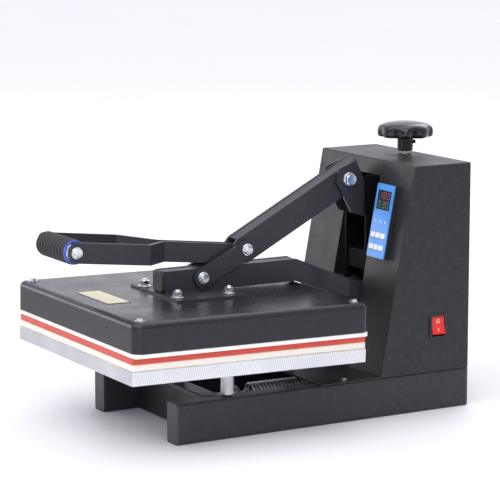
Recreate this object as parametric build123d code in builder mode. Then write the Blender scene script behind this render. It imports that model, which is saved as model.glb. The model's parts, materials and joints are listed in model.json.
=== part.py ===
"""Clamshell heat press for the tabletop.

A welded base of two rectangular tubes carries the lower platen on turned posts
and, at the back, a two-cheek column inside a sheet-metal tower. The head (heat
platen, cover, bracket and main arm) swings about a shaft in the column. A lever
with a forked handle hangs in a clevis that the pressure screw raises and lowers,
and a pair of links ties the lever to the main arm.

Units are millimetres. X runs across the machine, +Y points to the back and +Z up.
The origin is the middle of the machine's footprint box, on the table.
"""

import os
from math import atan2, cos, degrees, hypot, pi, radians, sin

from build123d import *

os.makedirs("parts", exist_ok=True)

# ---------------------------------------------------------------- driving dimensions
rail_length = 505.8
rail_width = 30.0
rail_height = 60.0
tube_wall = 2.0
base_width = 265.3
machine_back = 314.925

platen_width = 376.0
platen_length = 384.0
platen_overhang = 99.5
platen_pitch = 1.0
lower_plate_thickness = 20.0
felt_thickness = 10.0
silicone_thickness = 10.0
post_height = 46.0
heat_plate_thickness = 12.0
heat_plate_rim = 6.0
cover_width = 392.0
cover_length = 384.0
cover_height = 43.5
sheet = 1.5

deck_thickness = 2.0
tower_height = 377.0
tower_lean = 10.55
slot_half_width = 42.0
slot_top = 353.0

arm_half_width = 15.5
flat_bar = 5.0
fork_half_width = 36.0
lever_half_width = 15.3
lever_depth = 41.0
link_width = 28.0
plate_gap = 0.5
running_gap = 0.05

grip_diameter = 36.5
grip_half_length = 50.7
handle_bar_height = 30.0
knob_diameter = 86.0

# ---------------------------------------------------------------- derived places
rail_front = machine_back - rail_length
rail_x = (base_width - rail_width) / 2
rail_inner = base_width / 2 - rail_width


def behind(distance):
    """Y of a point so far behind the front ends of the rails."""
    return rail_front + distance


def facing_front(y):
    """Plane across the machine at y, with X to the right, Z up, facing the front."""
    return Plane.XZ.offset(-y)


def polar(centre, radius, angle):
    """Point (y, z) at an angle in degrees from the +Y direction about a centre."""
    return (centre[0] + radius * cos(radians(angle)), centre[1] + radius * sin(radians(angle)))


deck_top = rail_height + deck_thickness
platen_middle = behind(platen_length / 2 - platen_overhang)
lower_plate_bottom = rail_height + post_height
felt_bottom = lower_plate_bottom + lower_plate_thickness
silicone_bottom = felt_bottom + felt_thickness
heat_plate_bottom = silicone_bottom + silicone_thickness
cover_bottom = heat_plate_bottom + heat_plate_rim
cover_top = cover_bottom + cover_height
bracket_thickness = 3.0
bracket_top = cover_top + bracket_thickness
arm_bottom = bracket_top - 1.0
arm_top = arm_bottom + 34.0

# Pivots as (y, z): head hinge, clevis pin, lever-to-link pin, link-to-arm pin.
head_pivot = (behind(395.0), 172.0)
clevis_pivot = (behind(359.3), 347.8)
lever_pin = (behind(180.2), 253.8)
arm_pin = (behind(105.2), 217.8)
screw_axis_y = behind(475.0)

# Handle bars run straight from the grip, falling slightly towards the lever.
grip_axis = (behind(-118.0), 279.0)
handle_fall = 6.4

sides = (("left", -1), ("right", 1))


def stack_level(height):
    """Plane through the platens at a height over their middle; their front end is raised."""
    pitch = radians(platen_pitch)
    base = Plane(
        origin=(0, platen_middle, lower_plate_bottom),
        x_dir=(1, 0, 0),
        z_dir=(0, sin(pitch), cos(pitch)),
    )
    return base.offset(height - lower_plate_bottom)


def on_stack(height, location):
    """Plane at one location of a pattern laid out on the platens' plane."""
    return Plane(stack_level(height).location * location)


def hex_bolt(pivot_plane, head_at, across_flats, head_height, washer_radius):
    """Washer and hexagon head standing on a plane at a height above it."""
    with BuildSketch(pivot_plane.offset(head_at)) as washer:
        Circle(washer_radius)
    extrude(washer.sketch, amount=1.5)
    with BuildSketch(pivot_plane.offset(head_at + 1.5)) as head:
        RegularPolygon(across_flats / 2, 6, major_radius=False)
    extrude(head.sketch, amount=head_height)


# ================================================================ base
for side, sign in sides:
    with BuildPart() as rail:
        with BuildSketch(facing_front(machine_back - 3.5)):
            with Locations((sign * rail_x, rail_height / 2)):
                RectangleRounded(rail_width, rail_height, 4.0)
                RectangleRounded(rail_width - 2 * tube_wall, rail_height - 2 * tube_wall, 2.2, mode=Mode.SUBTRACT)
        extrude(amount=rail_length - 7.0)
    rail.part.label = f"rail_{side}"
    export_step(rail.part, f"parts/rail_{side}.step")

with BuildPart() as rail_end_caps:
    for x in (-rail_x, rail_x):
        for y, inward in ((machine_back, 1), (rail_front, -1)):
            with BuildSketch(facing_front(y)):
                with Locations((x, rail_height / 2)):
                    RectangleRounded(rail_width, rail_height, 4.0)
            extrude(amount=3.5 * inward)
            with BuildSketch(facing_front(y - 3.5 * inward)):
                with Locations((x, rail_height / 2)):
                    RectangleRounded(rail_width - 4.6, rail_height - 4.6, 2.0)
                    RectangleRounded(rail_width - 9.0, rail_height - 9.0, 1.5, mode=Mode.SUBTRACT)
            extrude(amount=14.0 * inward)
rail_end_caps.part.label = "rail_end_caps"
export_step(rail_end_caps.part, "parts/rail_end_caps.step")


def cross_tube(back_y, half_length):
    """Rectangular tube lying across the base, standing on edge like the rails."""
    with BuildSketch(Plane.YZ.offset(-half_length)) as section:
        with Locations((back_y - rail_width / 2, rail_height / 2)):
            RectangleRounded(rail_width, rail_height, 4.0)
            RectangleRounded(rail_width - 2 * tube_wall, rail_height - 2 * tube_wall, 2.2, mode=Mode.SUBTRACT)
    extrude(section.sketch, amount=2 * half_length)


front_tube_back = behind(88.5)
with BuildPart() as front_cross_tube:
    cross_tube(front_tube_back, rail_inner)
    with Locations(Plane.XZ.offset(-front_tube_back)):
        with Locations((0, 31.0)):
            Hole(radius=4.1, depth=2 * tube_wall)
front_cross_tube.part.label = "front_cross_tube"
export_step(front_cross_tube.part, "parts/front_cross_tube.step")

with BuildPart() as rear_cross_tube:
    cross_tube(machine_back, rail_inner)
rear_cross_tube.part.label = "rear_cross_tube"
export_step(rear_cross_tube.part, "parts/rear_cross_tube.step")

cheek_inner = 25.5
cheek_outer = cheek_inner + flat_bar
brace_back = behind(432.0)
with BuildPart() as column_braces:
    for sign in (-1, 1):
        with BuildSketch(Plane.YZ.offset(sign * cheek_outer)):
            with Locations((brace_back - rail_width / 2, rail_height / 2)):
                RectangleRounded(rail_width, rail_height, 4.0)
                RectangleRounded(rail_width - 2 * tube_wall, rail_height - 2 * tube_wall, 2.2, mode=Mode.SUBTRACT)
        extrude(amount=sign * (rail_inner - cheek_outer))
column_braces.part.label = "column_braces"
export_step(column_braces.part, "parts/column_braces.step")

deck_front = behind(242.0)
deck_screw_spots = [(x, y) for x in (-rail_x, rail_x) for y in (behind(291.0), behind(440.0))]
with BuildPart() as deck_plate:
    with BuildSketch(Plane.XY.offset(rail_height)):
        with Locations((0, (deck_front + machine_back) / 2)):
            Rectangle(base_width, machine_back - deck_front)
        with BuildLine():
            Polyline(
                (-cheek_inner, behind(316.0)),
                (cheek_inner, behind(316.0)),
                (cheek_inner, behind(384.5)),
                (cheek_outer, behind(384.5)),
                (cheek_outer, behind(500.0)),
                (-cheek_outer, behind(500.0)),
                (-cheek_outer, behind(384.5)),
                (-cheek_inner, behind(384.5)),
                close=True,
            )
        make_face(mode=Mode.SUBTRACT)
        with Locations(*deck_screw_spots):
            Circle(2.6, mode=Mode.SUBTRACT)
    extrude(amount=deck_thickness)
deck_plate.part.label = "deck_plate"
export_step(deck_plate.part, "parts/deck_plate.step")


def pan_screw(plane, head_radius, head_height, shank_radius, shank_length):
    """Pan-head screw with a cross recess, its head resting on the plane."""
    with BuildSketch(plane) as shank:
        Circle(shank_radius)
    extrude(shank.sketch, amount=-shank_length)
    with BuildSketch(plane) as head:
        Circle(head_radius)
    extrude(head.sketch, amount=head_height)
    with BuildSketch(plane.offset(head_height)) as recess:
        Rectangle(head_radius * 1.1, head_radius * 0.24)
        Rectangle(head_radius * 0.24, head_radius * 1.1)
    extrude(recess.sketch, amount=-head_height * 0.55, mode=Mode.SUBTRACT)


with BuildPart() as deck_screws:
    for x, y in deck_screw_spots:
        pan_screw(Plane(origin=(x, y, deck_top)), 5.0, 2.6, 2.5, deck_thickness)
deck_screws.part.label = "deck_screws"
export_step(deck_screws.part, "parts/deck_screws.step")

post_spots = [
    (-rail_x, behind(91.0), rail_height),
    (rail_x, behind(91.0), rail_height),
    (0, behind(73.5), rail_height),
    (0, behind(262.0), deck_top),
]
with BuildPart() as platen_posts:
    for x, y, z in post_spots:
        with BuildSketch(Plane(origin=(x, y, 0), x_dir=(1, 0, 0), z_dir=(0, -1, 0))):
            with BuildLine():
                Polyline(
                    (0, z),
                    (7.8, z),
                    (10.0, z + 4.0),
                    (10.0, lower_plate_bottom - 12.0),
                    (9.4, lower_plate_bottom - 11.4),
                    (9.4, lower_plate_bottom - 10.6),
                    (10.0, lower_plate_bottom - 10.0),
                    (10.0, lower_plate_bottom + 5.0),
                    (0, lower_plate_bottom + 5.0),
                    close=True,
                )
            make_face()
        revolve(axis=Axis((x, y, 0), (0, 0, 1)))
    split(bisect_by=stack_level(lower_plate_bottom), keep=Keep.BOTTOM)
platen_posts.part.label = "platen_posts"
export_step(platen_posts.part, "parts/platen_posts.step")

# ================================================================ lower platen
with BuildPart() as lower_platen:
    with BuildSketch(stack_level(lower_plate_bottom)):
        RectangleRounded(platen_width, platen_length, 2.0)
    extrude(amount=lower_plate_thickness)
    chamfer(lower_platen.faces().sort_by(Axis.Z)[0].edges(), length=0.6)
lower_platen.part.label = "lower_platen"
export_step(lower_platen.part, "parts/lower_platen.step")

for name, bottom, thickness in (
    ("felt_pad", felt_bottom, felt_thickness),
    ("silicone_pad", silicone_bottom, silicone_thickness),
):
    with BuildPart() as pad:
        with BuildSketch(stack_level(bottom)):
            RectangleRounded(platen_width - 1.0, platen_length - 1.0, 2.5)
        extrude(amount=thickness)
    pad.part.label = name
    export_step(pad.part, f"parts/{name}.step")

# ================================================================ head: platen and cover
with BuildPart() as heat_plate:
    with BuildSketch(stack_level(heat_plate_bottom)):
        RectangleRounded(cover_width - 2.0, cover_length - 1.0, 6.0)
    extrude(amount=heat_plate_rim)
    with BuildSketch(stack_level(cover_bottom)):
        RectangleRounded(cover_width - 2 * sheet - 1.0, cover_length - 2 * sheet - 1.0, 11.0)
    extrude(amount=heat_plate_thickness - heat_plate_rim)
heat_plate.part.label = "heat_plate"
export_step(heat_plate.part, "parts/heat_plate.step")

cover_corner = 13.0
cover_edge = 8.5
inner_bevel = 6.0
inner_width = cover_width - 2 * sheet
inner_length = cover_length - 2 * sheet
cover_screw_spots = GridLocations(354.0, 350.0, 2, 2).locations
bracket_bolt_spacing = (104.0, 86.0)
bracket_bolt_middle = Location((0, -6.4, 0))
bracket_bolt_spots = [
    bracket_bolt_middle * spot for spot in GridLocations(*bracket_bolt_spacing, 2, 2).locations
]
with BuildPart() as head_cover:
    with BuildSketch(stack_level(cover_bottom)):
        RectangleRounded(cover_width, cover_length, cover_corner)
    extrude(amount=cover_height)
    fillet(head_cover.faces().sort_by(Axis.Z)[-1].edges(), radius=cover_edge)
    with BuildSketch(stack_level(cover_bottom)):
        RectangleRounded(inner_width, inner_length, cover_corner - sheet)
    extrude(amount=cover_height - sheet - inner_bevel, mode=Mode.SUBTRACT)
    with BuildSketch(stack_level(cover_top - sheet - inner_bevel)):
        RectangleRounded(inner_width, inner_length, cover_corner - sheet)
    extrude(amount=inner_bevel, taper=44.0, mode=Mode.SUBTRACT)
    for location in cover_screw_spots:
        with Locations(on_stack(cover_top, location)):
            Hole(radius=2.2, depth=10.0)
    for location in bracket_bolt_spots:
        with Locations(on_stack(cover_top, location)):
            Hole(radius=4.2, depth=10.0)
head_cover.part.label = "head_cover"
export_step(head_cover.part, "parts/head_cover.step")

heat_plate_top = heat_plate_bottom + heat_plate_thickness
with BuildPart() as cover_screws:
    for location in cover_screw_spots:
        spot = on_stack(cover_top, location)
        with BuildSketch(spot):
            Circle(7.4)
            Circle(2.0, mode=Mode.SUBTRACT)
        extrude(amount=0.9)
        pan_screw(spot.offset(0.9), 4.8, 3.0, 2.0, 12.0)
cover_screws.part.label = "cover_screws"
export_step(cover_screws.part, "parts/cover_screws.step")

element_pitch = 42.0
element_reach = 145.0
with BuildPart() as heating_element:
    with BuildLine(stack_level(heat_plate_top + 4.0)) as element_route:
        corners = []
        for row in range(7):
            x = (row - 3) * element_pitch
            ends = (-element_reach, element_reach) if row % 2 == 0 else (element_reach, -element_reach)
            for y in ends:
                corners.append((x, y))
        FilletPolyline(*corners, radius=15.0)
    with BuildSketch(Plane(origin=element_route.line @ 0, z_dir=element_route.line % 0)):
        Circle(4.0)
    sweep()
heating_element.part.label = "heating_element"
export_step(heating_element.part, "parts/heating_element.step")

insulation_bottom = heat_plate_top + 9.0
with BuildPart() as insulation_pad:
    with BuildSketch(stack_level(insulation_bottom)):
        Rectangle(330.0, 330.0)
        with Locations(bracket_bolt_middle):
            with GridLocations(*bracket_bolt_spacing, 2, 2):
                Circle(9.6, mode=Mode.SUBTRACT)
    extrude(amount=18.0)
insulation_pad.part.label = "insulation_pad"
export_step(insulation_pad.part, "parts/insulation_pad.step")

with BuildPart() as arm_bracket:
    with BuildSketch(stack_level(cover_top)):
        with Locations((0, -3.0)):
            RectangleRounded(154.0, 116.0, 4.0)
        with Locations(bracket_bolt_middle):
            with GridLocations(*bracket_bolt_spacing, 2, 2):
                Circle(4.2, mode=Mode.SUBTRACT)
    extrude(amount=bracket_thickness)
arm_bracket.part.label = "arm_bracket"
export_step(arm_bracket.part, "parts/arm_bracket.step")

with BuildPart() as bracket_bolts:
    for location in bracket_bolt_spots:
        spot = on_stack(bracket_top, location)
        with BuildSketch(spot):
            Circle(4.0)
        extrude(amount=-(bracket_top - heat_plate_top))
        hex_bolt(spot, 0, 13.0, 10.5, 10.0)
bracket_bolts.part.label = "bracket_bolts"
export_step(bracket_bolts.part, "parts/bracket_bolts.step")

# ================================================================ head: main arm
arm_front = behind(44.0)
flare_start = behind(316.0)
flare_end = behind(351.0)
flare_shift = flat_bar * (fork_half_width - arm_half_width) / (
    hypot(fork_half_width - arm_half_width, flare_end - flare_start) + flare_end - flare_start
)
fork_radius = 20.0
shaft_radius = 10.0
bracket_back = behind(147.0)


def bracket_height(y):
    """Height of the bracket's top face at a place along the machine."""
    pitch = radians(platen_pitch)
    rise = bracket_top - lower_plate_bottom - (y - platen_middle) * sin(pitch)
    return lower_plate_bottom + rise / cos(pitch)


with BuildPart() as arm_sides:
    with BuildSketch(Plane.XY):
        for sign in (-1, 1):
            with BuildLine():
                Polyline(
                    (sign * arm_half_width, arm_front),
                    (sign * arm_half_width, flare_start),
                    (sign * fork_half_width, flare_end),
                    (sign * fork_half_width, head_pivot[0] + fork_radius),
                    (sign * (fork_half_width - flat_bar), head_pivot[0] + fork_radius),
                    (sign * (fork_half_width - flat_bar), flare_end + flare_shift),
                    (sign * (arm_half_width - flat_bar), flare_start + flare_shift),
                    (sign * (arm_half_width - flat_bar), arm_front),
                    close=True,
                )
            make_face()
    extrude(amount=arm_top + 10.0)
    with BuildSketch(Plane.YZ):
        with BuildLine():
            Polyline(
                (arm_front, bracket_height(arm_front)),
                (bracket_back, bracket_height(bracket_back)),
                (behind(266.5), arm_bottom),
                (behind(347.0), 169.0),
                (head_pivot[0] - 6.0, head_pivot[1] - fork_radius + 1.0),
                (head_pivot[0], head_pivot[1]),
                (head_pivot[0] - 6.0, head_pivot[1] + fork_radius - 1.0),
                (behind(365.0), 191.0),
                (behind(269.4), arm_top),
                (arm_front, arm_top),
                close=True,
            )
        make_face()
        with Locations(head_pivot):
            Circle(fork_radius)
            Circle(shaft_radius, mode=Mode.SUBTRACT)
        with Locations(arm_pin):
            Circle(5.0 + running_gap, mode=Mode.SUBTRACT)
    extrude(amount=2 * fork_half_width, both=True, mode=Mode.INTERSECT)
arm_sides.part.label = "arm_sides"
export_step(arm_sides.part, "parts/arm_sides.step")

arm_inner = arm_half_width - flat_bar
arm_foot = arm_bottom + 2.0
with BuildPart() as arm_webs:
    with BuildSketch(Plane.YZ.offset(-arm_inner)):
        with BuildLine():
            Polyline(
                (arm_front, arm_top - 0.7),
                (behind(269.2), arm_top - 0.7),
                (flare_start, arm_top - 0.7 - 0.43 * (flare_start - behind(269.2))),
                (flare_start, arm_top - 4.7 - 0.43 * (flare_start - behind(269.2))),
                (behind(268.4), arm_top - 4.7),
                (arm_front, arm_top - 4.7),
                close=True,
            )
        make_face()
    extrude(amount=2 * arm_inner)
    with BuildSketch(Plane.XY.offset(arm_foot)):
        with Locations((0, behind(153.0))):
            Rectangle(2 * arm_inner, 218.0)
    extrude(amount=4.0)
arm_webs.part.label = "arm_webs"
export_step(arm_webs.part, "parts/arm_webs.step")

with BuildPart() as arm_end_cap:
    with BuildSketch(facing_front(arm_front)):
        with Locations((0, (arm_foot + arm_top) / 2)):
            RectangleRounded(2 * arm_half_width, arm_top - arm_foot, 6.0)
    extrude(amount=5.0)
    fillet(arm_end_cap.faces().sort_by(Axis.Y)[0].edges(), radius=2.0)
    with BuildSketch(facing_front(arm_front)):
        with Locations((0, (arm_foot + arm_top) / 2)):
            Rectangle(2 * arm_inner - 0.4, arm_top - arm_foot - 12.4)
    extrude(amount=-12.0)
arm_end_cap.part.label = "arm_end_cap"
export_step(arm_end_cap.part, "parts/arm_end_cap.step")

# ================================================================ head: hinge shaft and tail
swing = 45.0
spring_height = 31.0
tail_length = (head_pivot[1] - spring_height) / cos(radians(swing / 2))
tail_pin = polar(head_pivot, tail_length, -90.0 + swing / 2)
tail_outer = 21.0

with BuildPart() as hinge_shaft:
    with BuildSketch(Plane.YZ.offset(-fork_half_width)):
        with Locations(head_pivot):
            Circle(shaft_radius)
    extrude(amount=2 * fork_half_width)
    for sign in (-1, 1):
        with BuildSketch(Plane.YZ.offset(sign * fork_half_width)):
            with Locations(head_pivot):
                RegularPolygon(12.0, 6, major_radius=False)
        extrude(amount=sign * 5.0)
hinge_shaft.part.label = "hinge_shaft"
export_step(hinge_shaft.part, "parts/hinge_shaft.step")

tail_middle = ((head_pivot[0] + tail_pin[0]) / 2, (head_pivot[1] + tail_pin[1]) / 2)
with BuildPart() as tail_plates:
    for sign in (-1, 1):
        with BuildSketch(Plane.YZ.offset(sign * (tail_outer - flat_bar))):
            with Locations(Location((*tail_middle, 0), (0, 0, 1), -90.0 + swing / 2)):
                SlotCenterToCenter(tail_length, 22.0)
            with Locations(head_pivot):
                Circle(17.0)
                Circle(shaft_radius, mode=Mode.SUBTRACT)
            with Locations(tail_pin):
                Circle(4.0, mode=Mode.SUBTRACT)
        extrude(amount=sign * flat_bar)
tail_plates.part.label = "tail_plates"
export_step(tail_plates.part, "parts/tail_plates.step")

with BuildPart() as tail_rod:
    with BuildSketch(Plane.YZ.offset(-tail_outer)):
        with Locations(tail_pin):
            Circle(4.0)
    extrude(amount=2 * tail_outer)
    for sign in (-1, 1):
        with BuildSketch(Plane.YZ.offset(sign * tail_outer)):
            with Locations(tail_pin):
                Circle(6.5)
        extrude(amount=sign * 2.0)
tail_rod.part.label = "tail_rod"
export_step(tail_rod.part, "parts/tail_rod.step")

# ================================================================ counterbalance spring
spring_outer = 14.0
spring_wire = 3.4
coil_front = behind(190.0)
coil_back = behind(428.0)
eye = (behind(168.0), spring_height)
front_loop = (behind(177.0), spring_height)
with BuildPart() as counter_spring:
    with BuildSketch(facing_front(coil_back)):
        with Locations((0, spring_height)):
            Circle(spring_outer)
            Circle(spring_outer - spring_wire, mode=Mode.SUBTRACT)
    extrude(amount=coil_back - coil_front)
    for near, far in (
        (front_loop[0] + 5.7, coil_front + spring_wire),
        (coil_back - spring_wire, tail_pin[0] - 6.2),
    ):
        with BuildSketch(facing_front(far)):
            with Locations((0, spring_height)):
                Circle(spring_wire / 2)
        extrude(amount=far - near)
    for end in (coil_front + spring_wire, coil_back):
        with BuildSketch(facing_front(end)):
            with Locations((0, spring_height)):
                Circle(spring_outer - spring_wire / 2)
        extrude(amount=spring_wire)
    with Locations((0, *front_loop)):
        Torus(5.7, spring_wire / 2)
    with Locations(Location((0, *tail_pin), (0, 1, 0), 90)):
        Torus(6.2, spring_wire / 2)
counter_spring.part.label = "counter_spring"
export_step(counter_spring.part, "parts/counter_spring.step")

with BuildPart() as spring_eyebolt:
    with BuildSketch(facing_front(eye[0] - 8.0)):
        with Locations((0, spring_height)):
            Circle(4.0)
    extrude(amount=eye[0] - 8.0 - behind(76.0))
    with Locations(Location((0, *eye), (0, 1, 0), 90)):
        Torus(9.0, 3.0)
    for y in (front_tube_back - tube_wall, front_tube_back + 6.0):
        with BuildSketch(facing_front(y)):
            with Locations((0, spring_height)):
                RegularPolygon(6.5, 6, major_radius=False)
        extrude(amount=6.0)
spring_eyebolt.part.label = "spring_eyebolt"
export_step(spring_eyebolt.part, "parts/spring_eyebolt.step")

# ================================================================ column
cheek_top = 352.0
with BuildPart() as column_cheeks:
    for sign in (-1, 1):
        with BuildSketch(Plane.YZ.offset(sign * cheek_inner)):
            with BuildLine():
                Polyline(
                    (behind(384.5), 2.0),
                    (behind(475.8), 2.0),
                    (behind(475.8), rail_height),
                    (behind(498.0), rail_height),
                    (behind(498.0), cheek_top),
                    (behind(384.5), cheek_top),
                    close=True,
                )
            make_face()
            with Locations(head_pivot):
                Circle(shaft_radius + running_gap, mode=Mode.SUBTRACT)
        extrude(amount=sign * flat_bar)
column_cheeks.part.label = "column_cheeks"
export_step(column_cheeks.part, "parts/column_cheeks.step")

screw_radius = 8.0
stud_radius = 4.5
with BuildPart() as column_top_plate:
    with BuildSketch(Plane.XY.offset(cheek_top)):
        with Locations((0, behind(462.25))):
            Rectangle(2 * cheek_outer, 75.5)
        with Locations((0, screw_axis_y)):
            Circle(screw_radius + running_gap, mode=Mode.SUBTRACT)
    extrude(amount=8.0)
column_top_plate.part.label = "column_top_plate"
export_step(column_top_plate.part, "parts/column_top_plate.step")

with BuildPart() as column_tie:
    with BuildSketch(Plane.YZ.offset(-cheek_inner)):
        with Locations((behind(402.0), 219.0)):
            RectangleRounded(30.0, 32.0, 3.0)
            RectangleRounded(26.0, 28.0, 1.5, mode=Mode.SUBTRACT)
    extrude(amount=2 * cheek_inner)
column_tie.part.label = "column_tie"
export_step(column_tie.part, "parts/column_tie.step")

# ================================================================ tower
lean = radians(tower_lean)
tower_half = base_width / 2
tower_front = behind(347.2)
front_face = Plane(
    origin=(0, tower_front, deck_top),
    x_dir=(1, 0, 0),
    z_dir=(0, -cos(lean), sin(lean)),
)


def tower_outline(inset):
    """Side outline of the tower, moved inwards on the front and top faces."""
    top = tower_height - inset
    front_low = tower_front + inset / cos(lean)
    front_high = front_low + (top - deck_top) * sin(lean) / cos(lean)
    Polyline(
        (front_low, deck_top),
        (machine_back, deck_top),
        (machine_back, top),
        (front_high, top),
        close=True,
    )


switch_spot = (behind(449.5), 129.75)
back_recess = 3.0
with BuildPart() as tower_cover:
    with BuildSketch(Plane.YZ.offset(-tower_half)):
        with BuildLine():
            tower_outline(0)
        make_face()
    extrude(amount=2 * tower_half)
    folded = tower_cover.edges().filter_by(lambda e: e.center().Z > deck_top + 1)
    fillet(folded.filter_by(lambda e: e.center().Y < machine_back - 1), radius=2.5)
    with BuildSketch(Plane.YZ.offset(-(tower_half - sheet))):
        with BuildLine():
            tower_outline(sheet)
        make_face()
    extrude(amount=2 * (tower_half - sheet), mode=Mode.SUBTRACT)
    with BuildSketch(facing_front(behind(420.0))):
        with Locations((0, (slot_top + deck_top) / 2)):
            Rectangle(2 * slot_half_width, slot_top - deck_top)
    extrude(amount=120.0, mode=Mode.SUBTRACT)
    with BuildSketch(Plane.XY.offset(tower_height)):
        with Locations((0, screw_axis_y)):
            Circle(11.0)
    extrude(amount=-10.0, mode=Mode.SUBTRACT)
    with BuildSketch(Plane.YZ.offset(tower_half)):
        with Locations(switch_spot):
            Rectangle(27.6, 33.6)
    extrude(amount=-10.0, mode=Mode.SUBTRACT)
    with BuildSketch(facing_front(machine_back - back_recess - sheet)):
        with Locations((0, (deck_top + tower_height - sheet) / 2)):
            Rectangle(2 * (tower_half - sheet), tower_height - sheet - deck_top)
            Rectangle(2 * (tower_half - 13.0), tower_height - deck_top - 24.0, mode=Mode.SUBTRACT)
    extrude(amount=sheet)
tower_cover.part.label = "tower_cover"
export_step(tower_cover.part, "parts/tower_cover.step")

back_screw_spots = [(x, z) for x in (-124.0, 124.0) for z in (74.0, 219.0, 365.0)]
inlet_spot = (-78.0, 110.0)
with BuildPart() as tower_back_panel:
    with BuildSketch(facing_front(machine_back - back_recess)):
        with Locations((0, (deck_top + tower_height - sheet) / 2)):
            Rectangle(2 * (tower_half - sheet) - 0.6, tower_height - sheet - deck_top - 0.6)
        with Locations((60.0, 200.0)):
            with GridLocations(0, 11.0, 1, 12):
                SlotOverall(70.0, 4.5, mode=Mode.SUBTRACT)
        with Locations((-60.0, 200.0)):
            with GridLocations(0, 11.0, 1, 12):
                SlotOverall(70.0, 4.5, mode=Mode.SUBTRACT)
        with Locations(inlet_spot):
            Rectangle(27.4, 20.4, mode=Mode.SUBTRACT)
        with Locations(*back_screw_spots):
            Circle(1.7, mode=Mode.SUBTRACT)
    extrude(amount=sheet)
tower_back_panel.part.label = "tower_back_panel"
export_step(tower_back_panel.part, "parts/tower_back_panel.step")

inlet_back = machine_back - back_recess + 2.2
with BuildPart() as power_inlet:
    with BuildSketch(facing_front(inlet_back)):
        with Locations(inlet_spot):
            RectangleRounded(48.0, 22.6, 2.5)
    extrude(amount=2.2)
    with BuildSketch(facing_front(inlet_back)):
        with Locations(inlet_spot):
            Rectangle(27.0, 20.0)
    extrude(amount=20.0)
    with BuildSketch(facing_front(inlet_back)):
        with Locations(inlet_spot):
            Polygon((-12.0, -8.2), (12.0, -8.2), (12.0, 3.9), (7.7, 8.2), (-7.7, 8.2), (-12.0, 3.9), align=None)
    extrude(amount=16.5, mode=Mode.SUBTRACT)
    for x, z in ((-7.0, -2.0), (0.0, 2.0), (7.0, -2.0)):
        with BuildSketch(facing_front(inlet_back - 1.5)):
            with Locations((inlet_spot[0] + x, inlet_spot[1] + z)):
                Rectangle(2.0, 4.0)
        extrude(amount=15.0)
power_inlet.part.label = "power_inlet"
export_step(power_inlet.part, "parts/power_inlet.step")

# ================================================================ control panel
panel_width = 45.7
panel_length = 112.0
panel_centre = (78.05, 229.5)
housing_depth = 8.0
face_depth = 2.0
window_size = (36.0, 29.5)
window_centre = (panel_centre[0], panel_centre[1] - panel_length / 2 + 87.75)
lamp_row = panel_centre[1] - panel_length / 2 + 55.0
button_rows = (panel_centre[1] - panel_length / 2 + 34.0, panel_centre[1] - panel_length / 2 + 15.7)
button_size = (10.5, 8.0)
button_pitch = 13.0
button_spots = [
    (panel_centre[0] + column * button_pitch, row) for row in button_rows for column in (-1, 0, 1)
]


def off_front(distance):
    """Plane parallel to the leaning front of the tower, standing off it."""
    return front_face.offset(distance)


with BuildPart() as panel_housing:
    with BuildSketch(off_front(0)):
        with Locations(panel_centre):
            RectangleRounded(panel_width, panel_length, 1.2)
    extrude(amount=housing_depth)
    with BuildSketch(off_front(1.5)):
        with Locations(panel_centre):
            RectangleRounded(panel_width - 4.0, panel_length - 4.0, 1.5)
    extrude(amount=housing_depth, mode=Mode.SUBTRACT)
panel_housing.part.label = "panel_housing"
export_step(panel_housing.part, "parts/panel_housing.step")

with BuildPart() as panel_face:
    with BuildSketch(off_front(housing_depth)):
        with Locations(panel_centre):
            RectangleRounded(panel_width, panel_length, 1.2)
        with Locations(window_centre):
            Rectangle(*window_size, mode=Mode.SUBTRACT)
        with Locations(*button_spots):
            RectangleRounded(button_size[0] + 0.7, button_size[1] + 0.7, 1.8, mode=Mode.SUBTRACT)
        with Locations((panel_centre[0], lamp_row)):
            with GridLocations(button_pitch, 0, 3, 1):
                Circle(1.6, mode=Mode.SUBTRACT)
    extrude(amount=face_depth)
panel_face.part.label = "panel_face"
export_step(panel_face.part, "parts/panel_face.step")

with BuildPart() as display_window:
    with BuildSketch(off_front(3.0)):
        with Locations(window_centre):
            Rectangle(*window_size)
    extrude(amount=housing_depth + face_depth - 3.3)
display_window.part.label = "display_window"
export_step(display_window.part, "parts/display_window.step")

with BuildPart() as indicator_lamps:
    with BuildSketch(off_front(6.0)):
        with Locations((panel_centre[0], lamp_row)):
            with GridLocations(button_pitch, 0, 3, 1):
                Circle(1.6)
    extrude(amount=housing_depth + face_depth - 5.8)
indicator_lamps.part.label = "indicator_lamps"
export_step(indicator_lamps.part, "parts/indicator_lamps.step")

for number, spot in enumerate(button_spots, 1):
    with BuildPart() as push_button:
        with BuildSketch(off_front(5.0)):
            with Locations(spot):
                RectangleRounded(button_size[0] + 2.0, button_size[1] + 1.6, 1.0)
        extrude(amount=1.5)
        with BuildSketch(off_front(6.5)):
            with Locations(spot):
                RectangleRounded(*button_size, 1.5)
        extrude(amount=4.9)
        fillet(push_button.faces().sort_by(Axis(front_face.origin, front_face.z_dir))[-1].edges(), radius=0.5)
    push_button.part.label = f"push_button_{number}"
    export_step(push_button.part, f"parts/push_button_{number}.step")

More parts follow.
